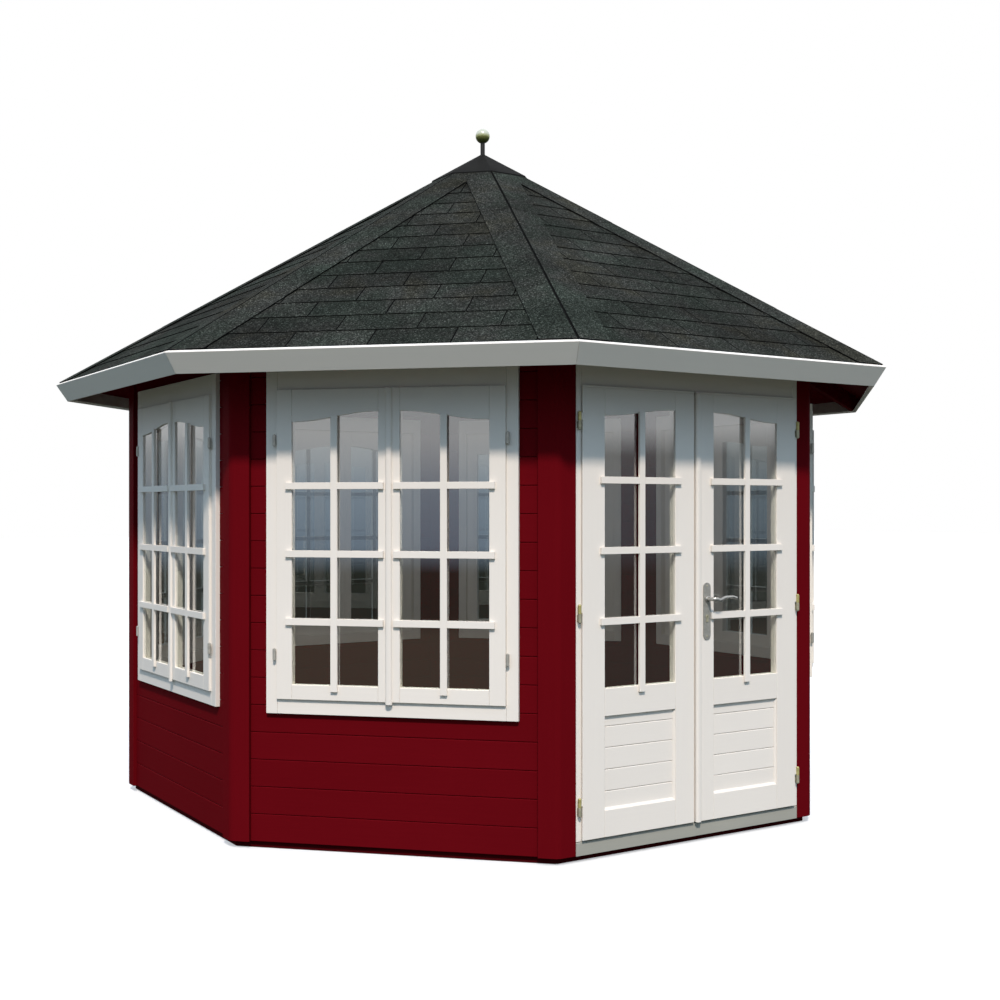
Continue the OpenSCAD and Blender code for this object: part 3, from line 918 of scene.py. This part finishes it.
def leaf_joinery(side, name, spindle=None):
    """One rebated door leaf: glazed above, with a sunk panel of level boards below."""
    b = Builder()
    depth = (LEAF_BACK, LEAF_FACE)
    heights = (LEAF_BOTTOM, LEAF_TOP)
    inner, outer, glass_low = LEAF_OPENING
    panel_low = LEAF_BOTTOM + LEAF_SILL
    panel_high = panel_low + PANEL_H
    glazed_leaf(b, 0, side, (LEAF_MEET, LEAF_EDGE), depth, heights, (inner, outer, panel_low), LEAF_CURVE,
                stiles=False)
    if spindle:
        ring_plate(b, rectangle((LEAF_MEET, inner), heights), spindle, SPINDLE_HOLE, depth)
    else:
        stile(b, 0, span(side, LEAF_MEET, inner), depth, heights)
    lip = (LEAF_FACE - LIP_T, LEAF_FACE)
    edge = LEAF_EDGE + LIP_W
    outline = [(outer, LEAF_BACK), (LEAF_EDGE, LEAF_BACK), (LEAF_EDGE, lip[0]), (edge, lip[0]),
               (edge, lip[1]), (outer, lip[1])]
    b.prism(flip(outline, side), *heights, along_z(0))
    rail(b, 0, span(side, LEAF_MEET, edge), lip, (LEAF_TOP, LEAF_TOP + LIP_W))
    rail(b, 0, span(side, inner + JOINT, outer - JOINT), depth, (panel_high, glass_low))
    make(name + "_joinery", b, [WHITE], body=name, bevel=JOINERY_EDGE, replaces=(name,))
    b = Builder()
    sunk = (LEAF_BACK + PANEL_RECESS, LEAF_FACE - PANEL_RECESS)
    lines = (panel_low,) + PANEL_LINES + (panel_high,)
    for low, high in zip(lines, lines[1:]):
        rail(b, 0, span(side, inner, outer), sunk, (low + PANEL_GROOVE / 2, high - PANEL_GROOVE / 2))
    make(name + "_panel", b, [WHITE], body=name, bevel=PANEL_EDGE)
    b = Builder()
    for d, outwards in ((sunk[1], 1), (sunk[0], -1)):
        panel_beads(b, span(side, inner, outer), (panel_low, panel_high), d, outwards)
    make(name + "_beads", b, [WHITE], body=name, bevel=BEAD_EDGE)


def leaf_bars(side, name, inner_lap):
    b = Builder()
    glazing_bars(b, 0, side, LEAF_OPENING, LEAF_CURVE, LEAF_FACE, DOOR_BAR_Z, inner_lap)
    if side > 0:
        left = LEAF_MEET - ASTRAGAL_LAP
        astragal(b, 0, (left, left + ASTRAGAL_W), LEAF_FACE, (LEAF_BOTTOM - FIT, LEAF_TOP))
    make(name + "_bars", b, [WHITE, IRON_AND_SHADE], body=name, bevel=BAR_EDGE)


# Ironmongery

def lathe(b, profile, steps, place, mat=0):
    """Turns an outline of (radius, along) points round an axis. Ends at radius 0 close to a point."""
    rings = []
    points = []
    for radius, along in profile:
        turned = 1 if radius < NEAR else steps
        rings.append([len(points) + i % turned for i in range(steps)])
        for i in range(turned):
            angle = tau * (i + 0.5) / steps
            points.append(place(radius * cos(angle), radius * sin(angle), along))
    caps = [ring for ring in (rings[0], rings[-1]) if len(set(ring)) > 1]
    b.solid(points, bands(rings) + caps, tone=MID_TONE, mats=mat)


def sweep(b, path, sizes):
    """Rounded bar on the door wall along (u, distance, height) points, with (height, depth) radii."""
    place = along_z(0)
    points = []
    steps, count = LEVER_ROUND, len(path)
    for i, (tall, deep) in enumerate(sizes):
        ahead = (Vector(path[min(i + 1, count - 1)]) - Vector(path[max(i - 1, 0)])).normalized()
        across = ahead.cross(Vector((0.0, 0.0, 1.0))).normalized()
        rise = across.cross(ahead).normalized()
        for j in range(steps):
            angle = tau * j / steps
            points.append(place(*(Vector(path[i]) + rise * (tall * sin(angle))
                                  + across * (deep * cos(angle)))))
    rings = [list(range(i * steps, (i + 1) * steps)) for i in range(count)]
    b.solid(points, bands(rings) + [rings[0], rings[-1]], tone=MID_TONE)


def at_spindle(face, outwards):
    """Places (sideways, upwards, distance off a leaf's face) around the spindle's axis."""
    return lambda a, c, off: (SPINDLE_U + a, -(face + outwards * off), SPINDLE_Z + c)


def handle_plate_set():
    """Long plates with rounded ends, two screws each and a lock cylinder."""
    b = Builder()
    r = PLATE_W / 2
    high, low = SPINDLE_Z + PLATE_ABOVE - r, SPINDLE_Z + PLATE_ABOVE - PLATE_LEN + r
    outline = (arc((SPINDLE_U, high), r, 0, 180, HOLE_STEPS // 2)
               + arc((SPINDLE_U, low), r, 180, 360, HOLE_STEPS // 2))
    foot = KEY_DROP - LOCK_LEN
    lock = arc((0.0, KEY_DROP), LOCK_R, *LOCK_ARC, SMALL_ROUND) + [(-LOCK_HALF, foot), (LOCK_HALF, foot)]
    for face, outwards in ((LEAF_FACE, 1), (LEAF_BACK, -1)):
        front = face + outwards * PLATE_T
        ring_plate(b, outline, (SPINDLE_U, SPINDLE_Z), PLATE_HOLE, sorted((face, front)), tone=MID_TONE)
        place = at_spindle(front, outwards)
        b.prism(lock, -SUNK, LOCK_OUT, place, tone=MID_TONE, mat=1)
        b.prism(rectangle(*KEY_SLOT), LOCK_OUT, LOCK_OUT + KEY_SLOT_T, place, tone=MID_TONE, mat=2)
        for z in (PLATE_ABOVE - SCREW_IN, PLATE_ABOVE - PLATE_LEN + SCREW_IN):
            lathe(b, SCREW_HEAD, SMALL_ROUND, lambda a, c, off, z=z: place(a, c + z, off), mat=1)
    make("handle_plate_set", b, [PLATE, ZINC, IRON_AND_SHADE], body="right_leaf", bevel=FINE_EDGE,
         replaces=("handle_plates",))


def follow(points, t):
    """Value at t on a smooth line through (place, value) points."""
    for (t0, v0), (t1, v1) in zip(points, points[1:]):
        if t <= t1:
            share = (t - t0) / (t1 - t0)
            return v0 + (v1 - v0) * share * share * (3 - 2 * share)


def lever_line(neck):
    """Points and (height, depth) radii of the outer lever: its neck, bend and waved grip."""
    path = [(SPINDLE_U, neck, SPINDLE_Z)]
    sizes = [(NECK_R, NECK_R)]
    for i in range(BEND_STEPS + 1):
        t = i / BEND_STEPS
        a = pi / 2 * t
        path.append((SPINDLE_U + LEVER_BEND * (1 - cos(a)),
                     LEVER_D - LEVER_BEND + LEVER_BEND * sin(a), SPINDLE_Z))
        sizes.append((NECK_R + (GRIP_TALL - NECK_R) * t, NECK_R + (GRIP_DEEP - NECK_R) * t))
    for i in range(1, LEVER_STEPS + 1):
        t = i / LEVER_STEPS
        u = SPINDLE_U + LEVER_BEND + (LEVER_LEN - LEVER_BEND) * t
        path.append((u, LEVER_D, SPINDLE_Z + follow(LEVER_WAVE, t)))
        end = sqrt(1 - max(0.0, (t - TIP_START) / (1 - TIP_START)) ** 2)
        end = max(end, TIP_LEAST)
        sizes.append(((GRIP_TALL - GRIP_TAPER * t) * end, GRIP_DEEP * end))
    return path, sizes


def lever_set():
    """Curved lever on both faces of the leaf, joined by a square spindle."""
    b = Builder()
    centre = (LEAF_FACE + LEAF_BACK) / 2
    neck = LEAF_FACE + PLATE_T + LEVER_CLEAR
    path, sizes = lever_line(neck)
    for face, outwards in ((LEAF_FACE, 1), (LEAF_BACK, -1)):
        sweep(b, [(u, centre + outwards * (d - centre), z) for u, d, z in path], sizes)
        lathe(b, LEVER_COLLAR, ROUND, at_spindle(face + outwards * PLATE_T, outwards))
    half = (-SPINDLE_HALF, SPINDLE_HALF)
    core = [(SPINDLE_U + a, SPINDLE_Z + c) for a, c in rectangle(half, half)]
    b.prism(core, 2 * centre - neck - 2 * SUNK, neck + 2 * SUNK, along_d(0), tone=MID_TONE)
    make("lever_set", b, [STEEL], body="lever", replaces=("handle_lever",))


def window_hinges():
    """Small barrel hinges on the frames, beside the edges of the sashes."""
    b = Builder()
    barrel = [(a, -c) for a, c in reversed(WINDOW_BARREL)] + [*WINDOW_BARREL]
    for k in WINDOW_BAYS:
        for side in (1, -1):
            for z in WINDOW_HINGE_Z:
                def place(x, y, along, on=along_z(k), u=side * (SASH_EDGE + WINDOW_HINGE_OUT), z=z):
                    return on(u + x, SASH_FACE + WINDOW_HINGE_OFF - y, z + along)
                lathe(b, barrel, SMALL_ROUND, place)
    make("window_hinges", b, [GREY_ZINC])


def door_hinges():
    """Lift-off hinges: lower knuckles on pads on the jambs, upper knuckles on arms from the leaves."""
    lo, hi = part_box("right_leaf_hinges")
    r, tip, half = HINGE_R, HINGE_TIP, HINGE_HALF
    hinge_u, hinge_d = hi[0] - r, -lo[1] - r
    low, high = lo[2], hi[2] - half
    lower = [(0.0, -half - tip), (0.0030, -half - tip * 0.8), (0.0048, -half - tip * 0.2),
             (0.0050, -half), (r - 0.0006, -half), (r, -half + 0.0006), (r, -0.0016), (r - 0.0006, -0.0010),
             (0.0055, -0.0010), (0.0055, 0.0), (0.0, 0.0)]
    upper = [(0.0, FIT), (r - 0.0006, FIT), (r, FIT + 0.0006)] + [(a, -c) for a, c in reversed(lower[:6])]
    house = Builder()
    leaves = {"left_leaf": Builder(), "right_leaf": Builder()}
    for z in (low, (low + high) / 2, high):
        for side, leaf in ((-1, "left_leaf"), (1, "right_leaf")):
            def place(a, c, along, u=side * hinge_u, z=z):
                return (u + a, c - hinge_d, z + along)
            lathe(house, lower, ROUND, place)
            rail(house, 0, span(side, hinge_u - HINGE_ARM, hinge_u + HINGE_ARM),
                 (FRAME_FACE, hinge_d - 2 * SUNK), (z - half + tip, z - tip), tone=MID_TONE)
            lathe(leaves[leaf], upper, ROUND, place)
            rail(leaves[leaf], 0, span(side, LEAF_EDGE + LIP_W - 2 * SUNK, hinge_u - 2 * SUNK),
                 (LEAF_FACE - HINGE_ARM, LEAF_FACE - SUNK), (z + tip, z + half - tip), tone=MID_TONE, mat=1)
    make("jamb_knuckles", house, [ZINC], replaces=("frame_hinges",))
    for leaf, b in leaves.items():
        make(leaf + "_knuckles", b, [BRASS, WHITE], body=leaf, replaces=(leaf + "_hinges",))


# Roof. Points on a side are (sideways, up the slope from the eave, off the top of the shingles)

SLOPE_TO_U = cos(PITCH) * TAN_HALF
EAVE_U = EAVE_D * TAN_HALF


def slope_d(s, n):
    return EAVE_D - s * cos(PITCH) + n * sin(PITCH)


def on_roof(k):
    place = along_z(k)
    return lambda u, s, n: place(u, slope_d(s, n), EAVE_Z + s * sin(PITCH) + n * cos(PITCH))


def slope_at(d):
    """How far up the slope a point lies at distance d from the centre."""
    return (EAVE_D - d) / cos(PITCH)


def hip_to_hip(b, k, s, n, **kw):
    """Level board on roof side k that is mitred at both hips."""
    place = on_roof(k)
    half = slope_d(s[0], 0.0) * TAN_HALF

    def mitre(a, c, along):
        return place(along / half * (slope_d(a, c) * TAN_HALF - FIT), a, c)
    b.prism(rectangle(s, n), -half, half, mitre, **kw)


def deck(b, k):
    """Roof boards that show red from below, and dark felt on top of them."""
    low, high = FASCIA_T + FIT, slope_at(PEAK_HOLE)
    count = round((high - low) / DECK_PITCH)
    step = (high - low) / count
    for i in range(count):
        s = (low + i * step + DECK_GAP, low + (i + 1) * step - DECK_GAP)
        hip_to_hip(b, k, s, (-ROOF_T, -FELT_N - FELT_T))
    hip_to_hip(b, k, (low, high), (-FELT_N - FELT_T + FELT_GAP, -FELT_N), mat=1, tone=MID_TONE)


def course_tabs(course):
    """Sideways limits of the tabs in one course, in half bond, with slightly uneven slits."""
    start = -ceil(EAVE_U / TAB_W) * TAB_W - (TAB_W / 2 if course % 2 else 0.0)
    tabs = []
    while start < EAVE_U:
        slit = SLIT_W * rng.uniform(*SLIT_SPREAD)
        tabs.append((start + slit / 2, start + TAB_W - slit / 2))
        start += TAB_W
    return tabs


def shingles(b, k):
    place = on_roof(k)
    top = slope_at(CAP_APOTHEM - CAP_LAP)
    course = 0
    low = FASCIA_T + FIT
    while low < top:
        for u in course_tabs(course):
            jog = rng.uniform(-TAB_JOG, TAB_JOG) if course else 0.0
            tab = rectangle(u, (low + jog, min(low + EXPOSURE + TAB_LAP, top)))
            for side in (1, -1):
                tab = clip(tab, (side, SLOPE_TO_U), EAVE_U - HIP_UNDER)
            if len(tab) < 3:
                continue

            def slab(a, s, lift, first=low):
                return place(a, s, (lift - 1) * SHINGLE_T - (s - first) / EXPOSURE * SHINGLE_T)
            # The cut edges take the dark seam bitumen: partly the dark core of a cut shingle, partly
            # painted shade of the line under each course
            b.prism(tab, 0.0, 1.0, slab, tone=rng.uniform(*TAB_TONES), mat=2, edge_mat=1)
        low += EXPOSURE
        course += 1


def hip_half(b, k, side):
    """Folded hip pieces on one side of a hip, which meet along a dark seam."""
    place = on_roof(k)
    length = hypot(1.0, SLOPE_TO_U)
    up = (-SLOPE_TO_U / length, 1.0 / length)
    inward = (-up[1], up[0])
    width = HIP_BAND / length
    top = slope_at(CAP_APOTHEM - CAP_LAP)

    def strip(start, end, near, far):
        corners = ((start, near), (end, near), (end, far), (start, far))
        outline = [(EAVE_U + up[0] * h + inward[0] * w, up[1] * h + inward[1] * w) for h, w in corners]
        outline = clip(outline, (0.0, -1.0), -(FASCIA_T + FIT))
        outline = clip(outline, (0.0, 1.0), top)
        return flip(clip(outline, (-1.0, 0.0), -FIT), side)

    along = HIP_PIECE * HIP_START
    while along < top * length:
        outline = strip(along, along + HIP_PIECE + TAB_LAP, HIP_SEAM, width)
        if len(outline) >= 3:
            def slab(a, s, lift, first=along):
                past = (abs(a) - EAVE_U) * up[0] + s * up[1] - first
                return place(a, s, HIP_N + lift * SHINGLE_T + (1 - past / HIP_PIECE) * HIP_DROP)
            # Dark cut edges, as on the tabs: partly the dark core of a cut shingle, partly painted shade
            # along the edges of the hip pieces
            b.prism(outline, 0.0, 1.0, slab, tone=rng.uniform(*HIP_TONES), mat=2, edge_mat=1)
        along += HIP_PIECE
    seam = strip(-HIP_PIECE, top * length + HIP_PIECE, FIT, HIP_SEAM)
    b.prism(seam, -FELT_N, HIP_N, place, mat=1, tone=MID_TONE)


def roof_sides():
    for k in range(SIDES):
        b = Builder()
        deck(b, k)
        shingles(b, k)
        for side in (1, -1):
            hip_half(b, k, side)
        name = BAY_NAMES[k] + "_roof_panel"
        make(name + "_shingles", b, [RED, SEAM, SHINGLE], bevel=FINE_EDGE, segments=1,
             replaces=(name,))


def fascias():
    b = Builder()
    for k in range(SIDES):
        hip_to_hip(b, k, (0.0, FASCIA_T), (-FASCIA_H, 0.0))
    make("fascias", b, [WHITE], bevel=TRIM_EDGE, replaces=("fascia_boards",))


def cap_and_finial():
    peak = PEAK_Z + (CAP_T + FIT) / cos(PITCH)
    slope = tan(PITCH)
    under = CAP_APOTHEM - CAP_HEM - SUNK
    cap = [(0.0, PEAK_Z + CAP_LIFT), (under, PEAK_Z - slope * under + CAP_LIFT)]
    rim = peak - slope * CAP_APOTHEM
    cap += [(CAP_APOTHEM - CAP_HEM, rim - CAP_T), (CAP_APOTHEM, rim - CAP_T), (CAP_APOTHEM, rim),
            (CAP_HOLE, peak - slope * CAP_HOLE), (0.0, peak - slope * ROD_R)]
    b = Builder()
    lathe(b, [(r / cos(HALF), z) for r, z in cap], SIDES, upright)
    make("sheet_cap", b, [SHEET], bevel=PLANK_EDGE, replaces=("roof_cap",))
    b = Builder()
    king_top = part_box("king_block")[1][2]
    lathe(b, [(ROD_R, king_top), (ROD_R, BALL_Z - BALL_R + 2 * SUNK)], ROUND, upright, mat=1)
    turns = [pi * i / ROUND for i in range(ROUND + 1)]
    globe = [(BALL_R * sin(a), BALL_Z - BALL_R * cos(a)) for a in turns]
    lathe(b, globe, 2 * ROUND, upright)
    make("ball_finial", b, [BALL, IRON_AND_SHADE], replaces=("finial",))


# Pieces that keep their CAD shape

def dress(material, *nodes):
    for node in nodes:
        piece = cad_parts[node]
        piece.data.materials.clear()
        piece.data.materials.append(material)


# Studio

def stage_floor():
    """Floor that is white with a soft shadow to the eye, and duller as a source of bounced light."""
    mesh = bpy.data.meshes.new("studio_floor")
    reach = (-FLOOR_REACH, FLOOR_REACH)
    mesh.from_pydata([(x, y, 0.0) for x, y in rectangle(reach, reach)], [], [(0, 1, 2, 3)])
    floor = put("studio_floor", mesh)
    floor.location.z = -FLOOR_DROP
    floor.visible_glossy = floor.visible_transmission = False
    s = Shader("studio_floor")
    s.set(Base_Color=FLOOR_BOUNCE, Roughness=0.9)
    glow = s.node("Emission", Color=PURE_WHITE, Strength=FLOOR_GLOW)
    takes = s.node("BsdfDiffuse", Color=(FLOOR_TAKES, FLOOR_TAKES, FLOOR_TAKES, 1.0))
    white = s.node("AddShader", glow.outputs[0], takes.outputs[0])
    s.show(s.by_ray("Is Camera Ray", s.surface.outputs["BSDF"], white.outputs[0]))
    mesh.materials.append(s.owner)


def studio_world():
    """White to the eye, a soft horizon for mirrors and panes, and a cool fill for all else that grows
    stronger overhead.
    """
    world = bpy.data.worlds.new("studio")
    bpy.context.scene.world = world
    n = Nodes(world)
    towards = n.node("SeparateXYZ", n.node("TexCoord").outputs["Generated"]).outputs
    fill = n.tree.nodes["Background"]
    n.give(fill.inputs["Color"], FILL_COLOUR)
    n.give(fill.inputs["Strength"], n.spread(towards["Z"], *FILL_STRENGTH, *FILL_RISE))
    horizon = n.ramp(n.spread(towards["Z"], 0.0, 1.0, *HORIZON), *HORIZON_STOPS)
    dull = n.times(n.spread(towards["X"], 0.0, DULL_SHARE, *DULL_SIDE),
                   n.spread(towards["Z"], 1.0, 0.0, *DULL_TOP))
    result = fill.outputs["Background"]
    for kind, colour, strength in (("Is Glossy Ray", n.mix(dull, horizon, DULL_COLOUR), MIRRORED),
                                   ("Is Transmission Ray", horizon, THROUGH_GLASS),
                                   ("Is Camera Ray", PURE_WHITE, 1.0)):
        shown = n.node("Background", colour, strength)
        result = n.by_ray(kind, result, shown.outputs["Background"])
    n.give(n.tree.nodes["World Output"].inputs["Surface"], result)


def lamp(name, kind, **settings):
    data = bpy.data.lights.new(name, kind)
    for key, value in settings.items():
        setattr(data, key, value)
    return put(name, data)


def sun():
    azimuth, height = radians(SUN_AZIMUTH), radians(SUN_HEIGHT)
    towards = Vector((sin(azimuth) * cos(height), -cos(azimuth) * cos(height),
                      sin(height)))
    key = lamp("key", "SUN", energy=SUN_STRENGTH, angle=radians(SUN_ANGLE), color=SUN_COLOUR)
    key.rotation_euler = towards.to_track_quat("Z", "Y").to_euler()


def room_light():
    """Faint even light inside, which only shows on what it falls on."""
    room = lamp("room", "AREA", shape="DISK", size=ROOM_SIZE, energy=ROOM_POWER, color=ROOM_COLOUR)
    room.location.z = WALL_TOP
    room.visible_camera = room.visible_glossy = room.visible_transmission = False


def camera():
    data = bpy.data.cameras.new("camera")
    data.lens = CAMERA_LENS
    data.sensor_width = CAMERA_SENSOR
    data.shift_y = CAMERA_SHIFT
    eye = put("camera", data)
    eye.location = CAMERA_AT
    eye.rotation_euler = (radians(90), 0.0, radians(CAMERA_TURN))
    bpy.context.scene.camera = eye


base_timbers()
floor_planks()
for bay in WINDOW_BAYS:
    wall_boards(bay)
door_head_boards()
posts()
window_joinery()
sash_joinery(-1, "window_left_sashes")
sash_joinery(1, "window_right_sashes")
window_bars()
window_hinges()
door_joinery()
threshold()
leaf_joinery(-1, "left_leaf")
leaf_joinery(1, "right_leaf", (SPINDLE_U, SPINDLE_Z))
leaf_bars(-1, "left_leaf", BAR_LAP)
leaf_bars(1, "right_leaf", HANDLE_LAP)
handle_plate_set()
lever_set()
door_hinges()
roof_sides()
fascias()
cap_and_finial()
dress(RED_CAD, "wall_plates", "hip_rafters", "king_block")
dress(BASE_CAD, "floor_joists")
dress(PANE, "window_glass", "left_leaf_glass", "right_leaf_glass")

stage_floor()
studio_world()
sun()
room_light()
camera()
bpy.context.scene.view_settings.view_transform = "Standard"
